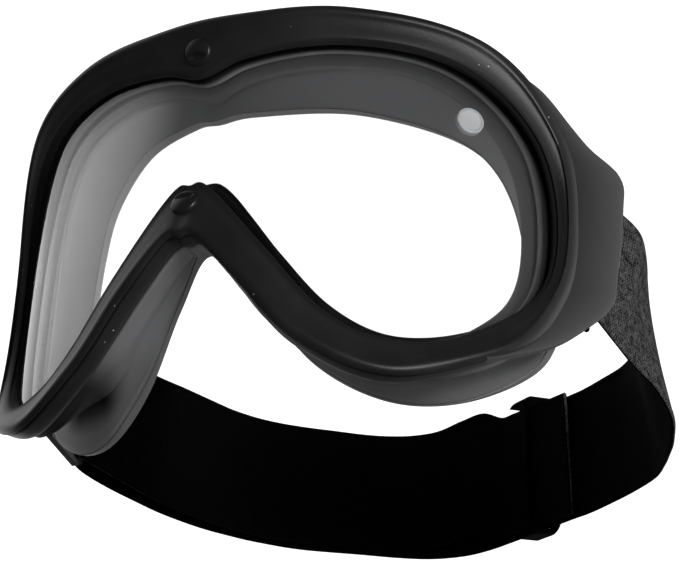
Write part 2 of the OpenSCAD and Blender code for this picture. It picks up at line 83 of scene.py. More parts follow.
# Curves
def smooth(points, steps, closed=True):
    """Catmull-Rom curve: between two points the cubic that leaves each along the chord of its neighbours."""
    p = np.asarray(points, float)
    p = p[:, None] if p.ndim == 1 else p
    n = len(p)
    i = np.arange(n if closed else n - 1)
    u = (np.arange(steps) / steps)[None, :, None]
    a, b, c, d = [p[(i + k) % n if closed else np.clip(i + k, 0, n - 1)][:, None] for k in (-1, 0, 1, 2)]
    q = 0.5 * (2 * b + (c - a) * u + (2 * a - 5 * b + 4 * c - d) * u ** 2 + (3 * b - a - 3 * c + d) * u ** 3)
    q = q.reshape(-1, p.shape[1])
    return q if closed else np.vstack([q, p[-1:]])


def round_loop(half):
    """Loop of stations, clockwise from the front, from the half outline and its mirror image in x."""
    h = np.asarray(half, float)
    other = h[-2:0:-1].copy()
    if h.ndim > 1:
        other[:, 0] *= -1
    return smooth(np.concatenate([h, other]), STEPS)


def evenly(p, n):
    """n points at equal distances along a polyline."""
    run = np.concatenate([[0], np.cumsum(np.linalg.norm(np.diff(p, axis=0), axis=1))])
    t = np.linspace(0, run[-1], n)
    return np.stack([np.interp(t, run, p[:, k]) for k in range(p.shape[1])], -1)


def unit(v):
    """Each vector brought to length 1."""
    return v / np.linalg.norm(v, axis=-1, keepdims=True)


def lerp(a, b, t):
    """The point at share t of the straight way from a to b."""
    return a + (b - a) * t


def soft_step(x, low, high):
    """0 below low, 1 above high and the cubic 3t^2 - 2t^3 between them."""
    t = np.clip((x - low) / (high - low), 0, 1)
    return t * t * (3 - 2 * t)


# Stations round the opening, and what changes from one to the next
opening_half = np.array(OPENING) * [OPENING_W / 2, OPENING_H]
ridge_half = opening_half + RIDGE_STEP
opening, ridge = round_loop(opening_half), round_loop(ridge_half)
waist = round_loop(WAIST)[:, 0]
N = len(opening)
outward = unit(ridge - opening)
band = np.linalg.norm(ridge - opening, axis=1)
station = np.arange(N) / PER
# The CAD's stations counted from the brow's middle down either side
half_station = np.minimum(station, CAD_STATIONS - station)


def ramp(run, width=1):
    """Smooth step up at the run's start and down at its end, over that many CAD stations."""
    return soft_step(np.minimum(half_station - run[0], run[1] - half_station), 0, width)


# Runs of CAD stations down each side, first and last
BROW_VENT, CHEEK_VENT, CHEEK_RECESS, WING_RUN = (1, 11), (30, 38), (28, 38), (13.5, 29)
LAP_IN = 3.0
pocket = np.minimum(LENS_LAP + 0.3, band - GROOVE - 0.8)
vent = np.maximum(ramp((29.5, 36.5)), ramp(BROW_VENT))
open_back = np.maximum(ramp((27.5, 39.5), 5), ramp(BROW_VENT))
trough = np.minimum(VENT_DEEP, band - pocket - GROOVE - 1.6)
# The flank, and what seats on it, draws in where the back is open
lap = band - LAP_IN * open_back
# Painted shade: what faces down inside the lens is coloured black between these stations
low_shade = soft_step(half_station, 24.5, 27)


def wrapped(x, z, d):
    """Point on the front: the lens cylinder of radius R turned by asin(x / R), then d towards its axis."""
    a = np.arcsin(np.clip(x / LENS_R, -1, 1))
    return np.stack([(LENS_R - d) * np.sin(a), LENS_R - (LENS_R - d) * np.cos(a), z + 0 * a], -1)


def across(m, d):
    """Points m out from the opening's edge and d deep, for every station; m and d are (stations, profile)."""
    p = opening[:, None] + outward[:, None] * m[..., None]
    return wrapped(p[..., 0], p[..., 1], d)


def line_at(m, d):
    """One point for every station, m out from the opening's edge and d deep."""
    return across(np.broadcast_to(np.asarray(m, float), (N,))[:, None], np.full((N, 1), float(d)))[:, 0]


def at_rest(p):
    """Leans the goggles back by LEAN about x, then lifts and centres them as the CAD does."""
    p = np.asarray(p, float)
    c, s = math.cos(LEAN), math.sin(LEAN)
    x, y, z = p[..., 0], p[..., 1], p[..., 2]
    return np.stack([x, y * c + z * s - MID_Y, z * c - y * s + LIFT], -1)


def ring(rows):
    """Closed ring round the opening: rows of (m, d), each a number or one value for every station, rounded
    with the closed curve above."""
    q = np.stack([np.broadcast_to(np.asarray(v, float), (N,)) for r in rows for v in r], -1)
    q = q.reshape(N, len(rows), 2).transpose(1, 2, 0).reshape(len(rows), -1)
    q = smooth(q, PROFILE_STEPS).reshape(-1, 2, N)
    return at_rest(across(q[:, 0].T, q[:, 1].T))


def skin(lines):
    """Closed ring whose profile runs through these lines of stations, rounded with the same curve."""
    q = np.stack(lines, 0).reshape(len(lines), -1)
    return at_rest(smooth(q, PROFILE_STEPS).reshape(-1, N, 3).transpose(1, 0, 2))


def row_numbers(points):
    """Place of each point of a ring's profile, counted in the rows that it was drawn from."""
    return np.arange(points.shape[1]) / PROFILE_STEPS


def lathe(rows, n=48):
    """Rows of (radius, height) turned about the z axis."""
    a = np.linspace(0, 2 * math.pi, n, endpoint=False)
    rows = np.asarray(rows, float)
    return np.stack([rows[:, :1] * np.cos(a), rows[:, :1] * np.sin(a), rows[:, 1:] + 0 * a], -1)


# Meshes and pieces
def grid_mesh(name, p, ring_shut=True, uv=None, sharp=50):
    """Mesh of a grid of points in mm, one closed profile after another: quads between neighbours, and from
    the last profile back to the first where the ring is shut, else an end face on both. The faces are turned
    so that its volume is positive."""
    nu, nv = p.shape[:2]
    i, j = np.meshgrid(np.arange(nu if ring_shut else nu - 1), np.arange(nv), indexing="ij")
    i2, j2 = (i + 1) % nu, (j + 1) % nv
    quads = np.stack([i * nv + j, i * nv + j2, i2 * nv + j2, i2 * nv + j], -1).reshape(-1, 4)
    v = p.reshape(-1, 3) / 1000
    a, b, c, d = (v[quads[:, k]] for k in range(4))
    mid = v.mean(0)
    turned = np.einsum("ij,ij->", a - mid, np.cross(b - mid, c - mid) + np.cross(c - mid, d - mid)) < 0
    faces = quads[:, ::-1] if turned else quads
    ends = []
    if not ring_shut:
        first, final = np.arange(nv), (nu - 1) * nv + np.arange(nv)
        ends = [first, final[::-1]] if turned else [first[::-1], final]
    mesh = bpy.data.meshes.new(name)
    loops = np.concatenate([faces.ravel()] + ends).astype(np.int32)
    sizes = np.array([4] * len(faces) + [nv] * len(ends), np.int32)
    mesh.vertices.add(len(v))
    mesh.vertices.foreach_set("co", v.astype(np.float32).ravel())
    mesh.loops.add(len(loops))
    mesh.loops.foreach_set("vertex_index", loops)
    mesh.polygons.add(len(sizes))
    mesh.polygons.foreach_set("loop_start", np.concatenate([[0], np.cumsum(sizes)[:-1]]).astype(np.int32))
    mesh.update(calc_edges=True)
    if uv is not None:
        layer = mesh.uv_layers.new(name="weave")
        layer.data.foreach_set("uv", (uv.reshape(-1, 2)[loops] / 1000).astype(np.float32).ravel())
    mesh.validate()
    mesh.shade_smooth()
    mesh.set_sharp_from_angle(angle=math.radians(sharp))
    return mesh


def place(name, mesh, finish, body, replaced=()):
    """Object at the origin, riding on a CAD body and standing for its CAD nodes."""
    o = bpy.data.objects.new(name, mesh)
    bpy.context.scene.collection.objects.link(o)
    mesh.materials.append(finish)
    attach(o, body)
    if replaced:
        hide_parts(*replaced)
    return o


def piece(name, points, finish, body, slot, replaced=(), ring_shut=True, uv=None, sharp=50, **tones):
    """Piece from a grid of points; tones are named values on its points, which its finish reads."""
    mesh = grid_mesh(name, points, ring_shut, uv, sharp)
    for tone, values in tones.items():
        values = np.broadcast_to(values, points.shape[:2]).astype(np.float32)
        mesh.attributes.new(tone, "FLOAT", "POINT").data.foreach_set("value", values.ravel())
    return place(name, mesh, finish, body, replaced)


# Finishes
class Value:
    """A node's output, which adds a Math node when it is used in an expression."""

    def __init__(self, nodes, socket):
        self.nodes, self.socket = nodes, socket

    def _math(self, operation, *values):
        return self.nodes.add("ShaderNodeMath", {"operation": operation}, dict(enumerate(values)))

    def __add__(self, other):
        return self._math("ADD", self, other)

    def __sub__(self, other):
        return self._math("SUBTRACT", self, other)

    def __rsub__(self, other):
        return self._math("SUBTRACT", other, self)

    def __mul__(self, other):
        return self._math("MULTIPLY", self, other)

    def __pow__(self, other):
        return self._math("POWER", self, other)

    def __gt__(self, other):
        return self._math("GREATER_THAN", self, other)

    __radd__, __rmul__ = __add__, __mul__

    def at_least(self, other):
        return self._math("MAXIMUM", self, other)

    def sine(self):
        return self._math("SINE", self)

    def clamped(self):
        """The value kept between 0 and 1."""
        settings = {"operation": "MAXIMUM", "use_clamp": True}
        return self.nodes.add("ShaderNodeMath", settings, {0: self, 1: 0.0})


class Nodes:
    """A node tree, in which add() makes every node from its type, its settings and its inputs."""

    def __init__(self, tree):
        self.tree = tree

    def feed(self, node, key, value):
        if isinstance(value, Value):
            self.tree.links.new(value.socket, node.inputs[key])
        else:
            node.inputs[key].default_value = value

    def add(self, kind, settings=None, inputs=None, out=0):
        node = self.tree.nodes.new(kind)
        for key, value in (settings or {}).items():
            if key == "stops":
                for mark, (at, colour) in zip(node.color_ramp.elements, value):
                    mark.position, mark.color = at, (*colour, 1)
            else:
                setattr(node, key, value)
        for key, value in (inputs or {}).items():
            self.feed(node, key, value)
        return Value(self, node.outputs[out])

    def parts(self, vector):
        first = self.add("ShaderNodeSeparateXYZ", {}, {0: vector})
        return [Value(self, socket) for socket in first.socket.node.outputs]


class Finish(Nodes):
    """A material round one Principled shader."""

    def __init__(self, name):
        self.material = bpy.data.materials.new(name)
        self.material.use_nodes = True
        super().__init__(self.material.node_tree)
        self.shader = self.tree.nodes["Principled BSDF"]

    def set(self, values):
        for key, value in values.items():
            self.feed(self.shader, key, value)

    def mix(self, a, factor, b):
        return self.add("ShaderNodeMix", {"data_type": "RGBA"}, {0: factor, 6: a, 7: b}, out=2)

    def blend(self, first, factor, second):
        """Shows a Mix Shader of two shaders."""
        both = self.add("ShaderNodeMixShader", {}, {0: factor, 1: first, 2: second})
        self.feed(self.tree.nodes["Material Output"], "Surface", both)

    def ramp(self, factor, *stops):
        return self.add("ShaderNodeValToRGB", {"stops": stops}, {"Fac": factor})

    def attribute(self, name):
        return self.add("ShaderNodeAttribute", {"attribute_name": name}, out="Fac")

    def object_place(self):
        return self.add("ShaderNodeTexCoord", out="Object")

    def noise(self, at, scale, detail, roughness=0.5):
        return self.add("ShaderNodeTexNoise", {}, {"Vector": at, "Scale": scale, "Detail": detail,
                                                    "Roughness": roughness})

    def bump(self, height, strength, distance):
        bump = self.add("ShaderNodeBump", {}, {"Height": height, "Strength": strength, "Distance": distance})
        self.set({"Normal": bump})


def grey(v):
    """A grey with a touch of blue."""
    return (v, v * 1.01, v * 1.04)


BLACK, DUST = (0.001, 0.001, 0.001, 1), (0.25, 0.25, 0.26, 1)
# Sizes of the patterns, in spots per metre
MOTTLE, GRAIN, DUST_CELLS, DUST_PATCHES = 55.0, 1500.0, 260.0, 75.0


def moulded(name, dark, light, rough, grain, specks=0.0, level=0.3, painted_light=None):
    """Moulded rubber or plastic: mottled colour, fine grain and a few pale specks of dust. The mesh's own
    values inside and shade turn it into a lighter grey, which is painted light, and into black, which is
    painted shade."""
    f = Finish(name)
    at = f.object_place()
    mottle, fine = f.noise(at, MOTTLE, 3.0), f.noise(at, GRAIN, 2.0)
    colour = f.ramp(mottle, (0.3, grey(dark)), (0.7, grey(light)))
    if specks:
        # A dot stands where a cell's middle is nearer than 0.06 of a cell, in patches
        dots = f.add("ShaderNodeTexVoronoi", {"feature": "F1"}, {"Vector": at, "Scale": DUST_CELLS})
        dots = ((0.06 - dots) * 60.0).clamped()
        colour = f.mix(colour, dots * (f.noise(at, DUST_PATCHES, 0.0) > 0.6) * specks, DUST)
    if painted_light:
        colour = f.mix(colour, f.attribute("inside"), (*grey(painted_light), 1))
    shade = f.attribute("shade")
    f.set({"Base Color": f.mix(colour, shade, BLACK), "Specular IOR Level": level,
           "Roughness": rough + (mottle - 0.5) * 0.12 + shade * (0.9 - rough)})
    f.bump(fine, 0.35, grain)
    return f.material


# Painted light: the skirt's and seal's inside faces are coloured this lighter grey
PAINTED_LIGHT_GREY = 0.24
rim_rubber = moulded("rim_rubber", 0.004, 0.007, 0.4, 0.00009, specks=0.7, level=0.18)
# Painted light: the wing's lighter grey towards its outer edge
wing_rubber = moulded("wing_rubber", 0.004, 0.007, 0.5, 0.00008, specks=0.3, level=0.2, painted_light=0.03)
skirt_rubber = moulded("skirt_rubber", 0.056, 0.068, 0.5, 0.00003, specks=0.15, painted_light=PAINTED_LIGHT_GREY)
seal_rubber = moulded("seal_rubber", 0.054, 0.066, 0.5, 0.00004, specks=0.1, painted_light=PAINTED_LIGHT_GREY)
# Painted light: the retainer's and spacer's light greys stand in for the light and the lens's reflection on
# the band seen through the lens
ring_plastic = moulded("ring_plastic", 0.19, 0.21, 0.45, 0.00002)
foam = moulded("vent_foam", 0.01, 0.03, 0.9, 0.0003)
spacer_foam = moulded("spacer_foam", 0.1, 0.12, 0.8, 0.00005)
stud_plastic = moulded("stud_plastic", 0.004, 0.006, 0.3, 0.00002, level=0.2)
clip_plastic = moulded("clip_plastic", 0.006, 0.01, 0.4, 0.00004)
slider_plastic = moulded("slider_plastic", 0.0004, 0.0007, 0.5, 0.00004, level=0.005)
valve_plastic = moulded("valve_plastic", 0.19, 0.25, 0.5, 0.00003)


def lens_glass(name, clear, shine):
    """Clear lens: light passes straight through, and the surface mirrors more the flatter it is seen, by
    shine * (0.04 + 0.96 (1 - cos)^5)."""
    f = Finish(name)
    facing = f.add("ShaderNodeLayerWeight", {}, {"Blend": 0.5}, out="Facing")
    through = f.add("ShaderNodeBsdfTransparent", {}, {"Color": (clear, clear, clear, 1)})
    gloss = f.add("ShaderNodeBsdfGlossy", {}, {"Roughness": 0.03})
    f.blend(through, facing ** 5.0 * (0.96 * shine) + 0.04 * shine, gloss)
    f.tree.nodes.remove(f.shader)
    return f.material


outer_glass = lens_glass("outer_lens", 0.99, 1.0)
inner_glass = lens_glass("inner_lens", 0.985, 0.7)

# Lengths of one row along the strap and one rib up it, in metres
ROW_L, RIB_W = 0.0009, 0.0011
# The UV map holds the inner face, which carries painted shade, from 0 up and the outer face from OUTER_V up,
# and parts them between, in mm
OUTER_V, PARTING_V = 60.0, 50.0


def webbing():
    """Knitted elastic: rows along the strap that wave with the ribs, under two sizes of loose fibre. The
    inner face, which is low in the UV map, is coloured nearly black as painted shade."""
    f = Finish("strap_webbing")
    s, t, _ = f.parts(f.add("ShaderNodeUVMap", {"uv_map": "weave"}))
    ribs = (t * (2 * math.pi / RIB_W)).sine()
    rows = (s * (2 * math.pi / ROW_L) + ribs * 1.2).sine()
    at = f.object_place()
    fibre, patch = f.noise(at, 1300.0, 3.0, 0.7), f.noise(at, 420.0, 2.0, 0.6)
    weave = rows * ribs * 0.5 + 0.5
    speckle = fibre * 0.55 + weave * 0.15 + patch * 0.3
    outer = f.ramp(speckle, (0.42, grey(0.004)), (0.62, grey(0.055)))
    # Painted shade: the inner face is coloured nearly black
    inner = f.ramp(speckle, (0.5, grey(0.0002)), (0.62, grey(0.0012)))
    colour = f.mix(inner, t > PARTING_V / 1000, outer)
    f.set({"Base Color": colour, "Roughness": 0.85, "Specular IOR Level": 0.02})
    f.bump(weave * 0.6 + fibre, 0.6, 0.0003)
    return f.material


strap_webbing = webbing()


# Front frame
def rim():
    """Ring whose profile climbs from the lens lip over a soft bead to the ridge, drops into the groove,
    swells into the second bead and turns in at the back, with the vents hollowed behind the bead. The cheeks'
    lowest points are cut flat at the table."""
    w, u, b, v = band, band - 2, band - GROOVE, vent
    back = np.minimum(lerp(w - 1.6, b - 0.1 - trough, v), lap - 1.6)
    rows = [(0.35, LIP_T - 0.05), (0.1, 1.3), (0, 0.6), (0.1, 0.05), (0.5, -0.45), (0.12 * u, -0.85),
            (0.2 * u, -1.1), (0.3 * u, -1.45), (0.47 * u, -2.1), (0.62 * u, -2.6), (0.78 * u, -3.1),
            (u - 0.6, -3.7), (w - 1.6, -RIDGE), (w - 0.8, 0.3 - RIDGE), (w - 0.2, -3.0), (w - 0.3, -2.7),
            (b - 0.5, -2.55), (b - 0.6, -2.3), (b - 0.5, -2.05), (w - 0.45, -1.85), (w - 0.15, -1.1),
            (w + 0.08, 0.4), (w + 0.05, 1.6), (w - 0.5, 2.6), (w - 1.2, 2.9),
            (np.minimum(lerp(w - 1.55, b - 0.3, v), lap - 1.55), 3.3), (back, lerp(4, 3.4, v)), (back, 6.4),
            (back - 0.2, FRAME_BACK), (pocket + 0.1, FRAME_BACK), (pocket, 6.8), (pocket, LIP_T + 0.2),
            (pocket - 0.2, LIP_T), (0.6, LIP_T)]
    q = ring(rows)
    q[..., 2] = np.maximum(q[..., 2], 0)
    return q


def rim_shade(row):
    """Painted shade on the rim, as black bands: the groove round row 17, fainter beside the wings, and the
    lens lip round row 2.5 at the sides and below, each falling off as exp(-x^4)."""
    beside_wing = soft_step(half_station, 13, 15) * (1 - soft_step(half_station, 27, 29))
    groove = np.exp(-((row - 17) / 1.6) ** 4)[None] * (1 - 0.8 * beside_wing[:, None])
    lip = np.exp(-((row - 2.5) / 4.5) ** 4)[None] * soft_step(half_station, 9, 14)[:, None]
    return np.maximum(groove, lip)


WING_AT, WING_TURN = (86.0, 50.0), math.radians(55)
WING_EDGE = [[-19.5, 43.2], [-13, 40.8], [-8.6, 37.8], [-2.7, 32.5], [3.2, 27.8], [9.2, 25], [12.1, 23.1],
             [13.9, 19.6], [13.6, 13.9], [12.8, 3.3], [11.3, -6.9], [10.4, -13.5], [7.8, -18.1], [3.7, -22.1],
             [-2.7, -27.6], [-6.8, -30.6], [-11, -33], [-15.5, -35.2], [-19.9, -37.1], [-24.4, -39],
             [-28, -40.3]]
WING_DIR = np.array([math.cos(WING_TURN), math.sin(WING_TURN)])
WING_COLUMNS = 90


def wing(side):
    """Flat plate between the ridge and the outer edge; across it runs the outer face, a rounded edge of half
    an ellipse, and the inner face back to the root. Its second result is each point's share of the way to
    the edge."""
    stations = np.arange(int(WING_RUN[1] * PER), int(WING_RUN[0] * PER) - 1, -1)
    root = line_at(band - 1.2, -2.5)[stations]
    root = np.stack([(root[:, :2] - WING_AT) @ WING_DIR, root[:, 2]], -1)
    root, edge = evenly(root, WING_COLUMNS), evenly(smooth(WING_EDGE, 6, False)[::-1], WING_COLUMNS)
    turn = np.linspace(0, math.pi, 13)
    flat = np.linspace(0, 1, 9)[:-1]
    span = np.linalg.norm(edge - root, axis=1)[:, None]
    soft = np.minimum(0.8, span * 0.4)
    out = flat * ((span - soft) / span)
    t = np.concatenate([out, 1 - (soft / span) * (1 - np.sin(turn)), out[:, ::-1]], 1)
    deep = np.concatenate([0 * flat, WING_T / 2 * (1 - np.cos(turn)), 0 * flat + WING_T])
    q = root[:, None] + (edge - root)[:, None] * t[..., None]
    x = WING_AT[0] + q[..., 0] * WING_DIR[0] - deep * WING_DIR[1]
    y = WING_AT[1] + q[..., 0] * WING_DIR[1] + deep * WING_DIR[0]
    return at_rest(np.stack([side * x, y, q[..., 1]], -1)), t


def pivot_boss(side):
    """Round boss on the wing's inner face, with a rounded rim round the pin's bore."""
    p = lathe([(2.01, 4.2), (2.01, 0.2), (2.2, 0), (3.3, 0), (3.55, 0.15), (3.6, 0.4), (3.6, 4.2)])
    x = CLIP_X + CLIP_T + 0.15 + p[..., 2]
    return at_rest(np.stack([side * x, PIN_Y + p[..., 0], PIN_Z + side * p[..., 1]], -1))


shape = rim()
piece("rim", shape, rim_rubber, "goggles", "frame", ["front_frame"], shade=rim_shade(row_numbers(shape)))
for side, word in ((1, "left"), (-1, "right")):
    shape, reach = wing(side)
    # Painted light: the wing is coloured lighter towards its outer edge
    piece("wing_" + word, shape, wing_rubber, "goggles", "frame", ring_shut=False, inside=reach ** 1.5)
    piece("pivot_boss_" + word, pivot_boss(side), wing_rubber, "goggles", "frame", ring_shut=False)

# Lens pack, as depths behind the opening's surface and as distances out from the opening's edge
outer_at = LIP_T + SEAM / 2
spacer_at = outer_at + LENS_T + SEAM / 2
inner_at = FRAME_BACK - 0.1 - INNER_T
retainer_at = FRAME_BACK + SEAM
lens_edge = pocket - 0.4
spacer_out = lens_edge - 0.2
spacer_in = np.maximum(spacer_out - SPACER_W, spacer_out - 0.6 * lens_edge - 0.5)
SEAT_W, LENS_COLUMNS, LENS_ROWS = 3.2, 161, 25


def lens(deep, thick):
    """Cylindrical plate: columns at equal sine steps of x, each from the lower to the upper edge of the
    outline, with a front and a back skin."""
    edge = (opening + outward * lens_edge[:, None])[:N // 2 + 1]
    tip = edge[:, 0].argmax()
    reach = edge[tip, 0] - 0.05
    x = reach * np.sin(np.linspace(-1, 1, LENS_COLUMNS) * math.pi / 2)
    high, low = edge[:tip + 1], edge[tip:][::-1]
    top = np.interp(abs(x), high[:, 0], high[:, 1])
    foot = np.minimum(np.interp(abs(x), low[:, 0], low[:, 1]), top - 0.5)
    t = np.concatenate([np.linspace(0, 1, LENS_ROWS), np.linspace(1, 0, LENS_ROWS)])
    d = np.concatenate([np.full(LENS_ROWS, deep), np.full(LENS_ROWS, deep + thick)])
    z = foot[:, None] + (top - foot)[:, None] * t
    return at_rest(wrapped(x[:, None] + 0 * z, z, d[None] + 0 * z))


def spacer():
    """Foam ring between the lenses, its inner wall bowed in by 0.1 mm."""
    return ring([(spacer_in, inner_at - SEAM), (spacer_in - 0.1, 5), (spacer_in, spacer_at),
                 (spacer_out, spacer_at), (spacer_out, inner_at - SEAM)])


def retainer():
    """Flat ring behind the lenses, whose inner edge slopes forward over the inner lens."""
    seat = lap - SEAT_W - SEAM
    return ring([(-2.2, retainer_at + RETAINER_T), (-2.4, 8.2), (-2.1, 7.5), (-1.2, 7.15), (0.2, retainer_at),
                 (seat, retainer_at), (seat, retainer_at + RETAINER_T)])


VALVE_X, VALVE_Z, VALVE_STAND = 66.0, 29.7, 0.85


def valve():
    """Disc with a low rim and a slightly dished middle, square to the inner lens and just before it."""
    p = lathe([(0, 0.45), (2.6, 0.5), (3.0, 0.55), (3.2, 0.85), (3.45, 0.85), (3.7, 0.6), (3.75, 0.3),
               (3.75, -0.75), (0, -0.75)])
    a = math.asin(VALVE_X / LENS_R)
    r = LENS_R - inner_at + VALVE_STAND + p[..., 2]
    x = r * math.sin(a) + p[..., 0] * math.cos(a)
    y = LENS_R - r * math.cos(a) + p[..., 0] * math.sin(a)
    return at_rest(np.stack([x, y, VALVE_Z + p[..., 1]], -1))


BROW_STUD_Z, NOSE_STUD_Z, STUD_R, STUD_Y, STUD_SUNK, STUD_TILT = 45.1, 0.9, 3.9, -2.1, 0.48, 16
MOON_AT, MOON_W, MOON_H, MOON_DEEP = 1.3, 2.7, 1.15, 0.9


def stud(z, up):
    """Dome head on a shank: a rounded edge under a shallow cap, with a half-moon pressed into the cap below
    its middle. The second result is the half-moon's share."""
    r = np.linspace(0, 1, 26) ** 0.8 * STUD_R
    h = 1.8 - r ** 2 * 0.065 - 0.8 * np.clip((r - STUD_R + 0.6) / 0.6, 0, 1) ** 3
    r = np.concatenate([r, [STUD_R, 1.5, 1.48, 0]])
    h = np.concatenate([h, [0.02, 0.02, -3.4, -3.45]])
    p = lathe(np.stack([r, h], -1), 96)
    x, y = p[..., 0], p[..., 1] * up
    moon = np.clip(1.6 - 1.6 * np.hypot(x / MOON_W, (y + MOON_AT) / MOON_H), 0, 1) ** 0.8 * (p[..., 2] > 0.5)
    h = p[..., 2] - MOON_DEEP * moon - STUD_SUNK
    a = math.radians(90 + up * STUD_TILT)
    y = p[..., 1] * math.cos(a) - h * math.sin(a)
    z = p[..., 1] * math.sin(a) + h * math.cos(a) + z
    return at_rest(np.stack([x, y + STUD_Y, z], -1)), moon


lenses = (("outer", outer_at, LENS_T, outer_glass), ("inner", inner_at, INNER_T, inner_glass))
for word, deep, thick, glass in lenses:
    piece("lens_" + word + "_clear", lens(deep, thick), glass, "goggles", word + "_lens", ["lens_" + word],
          ring_shut=False)
shape = spacer()
# Painted shade: black along the spacer's front edge, and on its lower stretch
front_edge_shade = soft_step(row_numbers(shape), 1, 2)[None]
piece("spacer_seal", shape, spacer_foam, "goggles", "spacer_foam", ["lens_spacer"],
      shade=np.maximum(low_shade[:, None], front_edge_shade))
# Painted shade: the retainer's lower stretch is coloured black
piece("retainer_ring", retainer(), ring_plastic, "goggles", "retainer", ["lens_retainer"],
      shade=low_shade[:, None])
piece("valve_disc", valve(), valve_plastic, "goggles", "valve", ["pressure_valve"], ring_shut=False)
for word, z, up in (("brow", BROW_STUD_Z, 1), ("nose", NOSE_STUD_Z, -1)):
    shape, moon = stud(z, up)
    # Painted shade: the half-moon pressed into the cap is coloured black
    piece("stud_on_" + word, shape, stud_plastic, "goggles", "studs", [word + "_stud"], ring_shut=False,
          shade=moon)


# Face skirt and its seal
MIDDLE_R = 4


def soft_x(x):
    """About |x| as a share s of half the opening's width, rounded off at the middle: sqrt(x^2 + 4^2) / 80."""
    return np.sqrt(x * x + MIDDLE_R ** 2) / (OPENING_W / 2)


def flange_y(x):
    """Depth of the flange: 10 + 60.6 s - 5.8 s^2, with s the soft x."""
    return 10 + 60.6 * soft_x(x) - 5.8 * soft_x(x) ** 2


def face_y(x):
    """Depth of the face opening: 11 + 31.9 s + 36.6 s^2, with s the soft x."""
    return 11 + 31.9 * soft_x(x) + 36.6 * soft_x(x) ** 2


SEAM_SEEN = 0.08
flange_half = ridge_half * [(LENS_R + 3.5) / LENS_R, 1] + FLANGE_STEP
face_half = opening_half + FACE_STEP
flange = round_loop(np.stack([flange_half[:, 0], flange_y(flange_half[:, 0]), flange_half[:, 1]], -1))
face = round_loop(np.stack([face_half[:, 0], face_y(face_half[:, 0]), face_half[:, 1]], -1))
skirt_at = FRAME_BACK + SOFT_SEAM
skirt_front = line_at(band - 1.5, skirt_at)
cushion_dir = unit(flange - skirt_front)
flange_front = flange - cushion_dir * (CUSHION_T + 1.6 * soft_step(half_station, 34, 38))[:, None]
face_front = face - [0, CUSHION_T, 0]


def skirt():
    """Moulded skirt: from its seat it laps over the frame's flank, draws in by the waist share and flares to
    the flange; inside, a smooth wall leads from the face opening back to the retainer."""
    back = retainer_at + RETAINER_T + SOFT_SEAM
    seat = lap - SEAT_W
    seat_in, seat_out = line_at(np.minimum(0.4, seat - 0.2), back), line_at(seat, back)
    front, outer, inner = skirt_front, flange_front, face_front
    wall = lerp(seat_in, inner, 0.5)
    out = unit(lerp(front, outer, 0.5) - wall)
    waisted = lerp(lerp(front, outer, 0.6), wall + out * SKIRT_WALL, waist[:, None])
    behind = np.array([0, 1.0, 0])
    return skin([
        seat_in, lerp(seat_in, seat_out, 0.5), seat_out, line_at(seat, back - 0.4),
        line_at(seat, skirt_at + 0.2), line_at(seat + 0.2, skirt_at), line_at(lap - 1.7, skirt_at),
        line_at(lap - 1.5, 6.9), line_at(lap - 1.48, 3.6), line_at(lap - 1.2, 3.15), line_at(lap - 0.4, 3.1),
        line_at(lap, 3.5), line_at(lap + 0.03, 4.5), line_at(lap, 6.2),
        line_at(lerp(band, band - 3.5, open_back), 8),
        lerp(lerp(front, outer, 0.22), waisted, 0.3 + 0.4 * open_back[:, None]), waisted,
        lerp(waisted, outer, 0.5), outer - behind * 1.5, outer - behind * 0.5, outer - behind * 0.1,
        lerp(outer, inner, 0.02), lerp(outer, inner, 0.5), lerp(outer, inner, 0.98), lerp(inner, wall, 0.01),
        lerp(inner, wall, 0.1), lerp(inner, wall, 0.6), wall, lerp(wall, seat_in, 0.5)])


def seal():
    """Soft bead on the flange: crowned towards the face, rounded at both edges."""
    crown = np.array([0, CUSHION_CROWN, 0])
    front, outer = face_front + [0, SEAM_SEEN, 0], flange_front + cushion_dir * SEAM_SEEN
    top = [lerp(flange, face, t) + crown * c
           for t, c in ((0.02, 0.3), (0.12, 0.75), (0.35, 1), (0.65, 1), (0.9, 0.6), (0.99, 0.1))]
    return skin([front, lerp(front, outer, 0.02), lerp(front, outer, 0.5), lerp(front, outer, 0.98), outer,
                 lerp(outer, flange, 0.05), lerp(outer, flange, 0.85), *top, lerp(face, front, 0.5)])


# Rows of each profile where the painted light on its inside starts and ends, and those round the recess
# behind the flank, which get painted shade
SKIRT_LIT_ROWS, SEAL_LIT_ROWS, RECESS_ROWS = (23.5, 0.5), (9, 0.8), (10, 16.9)


def painted_light(row, run):
    """1 from the run's first row round the profile's end to its last, and 0 elsewhere."""
    return np.where((row > run[0]) | (row < run[1]), 1.0, 0.0)[None]


shape = skirt()
row = row_numbers(shape)
lit_inside = painted_light(row, SKIRT_LIT_ROWS)
start, end = RECESS_ROWS
# Painted shade: the recess behind the flank is coloured black between these rows
recess_shade = soft_step(row, start - 0.5, start + 0.5) * (1 - soft_step(row, end - 0.5, end + 0.5))
# Painted light on the skirt's inside faces; painted shade on their lower stretch and in the recess behind the
# flank
piece("skirt", shape, skirt_rubber, "goggles", "skirt", ["face_skirt"], inside=lit_inside,
      shade=np.maximum(lit_inside * low_shade[:, None], recess_shade[None] * ramp(CHEEK_RECESS, 3)[:, None]))
shape = seal()
# Painted light on the seal's inside faces, and painted shade on their lower stretch
lit_inside = painted_light(row_numbers(shape), SEAL_LIT_ROWS)
bead = piece("face_seal", shape, seal_rubber, "goggles", "cushion", ["face_cushion"], inside=lit_inside,
             shade=lit_inside * low_shade[:, None])


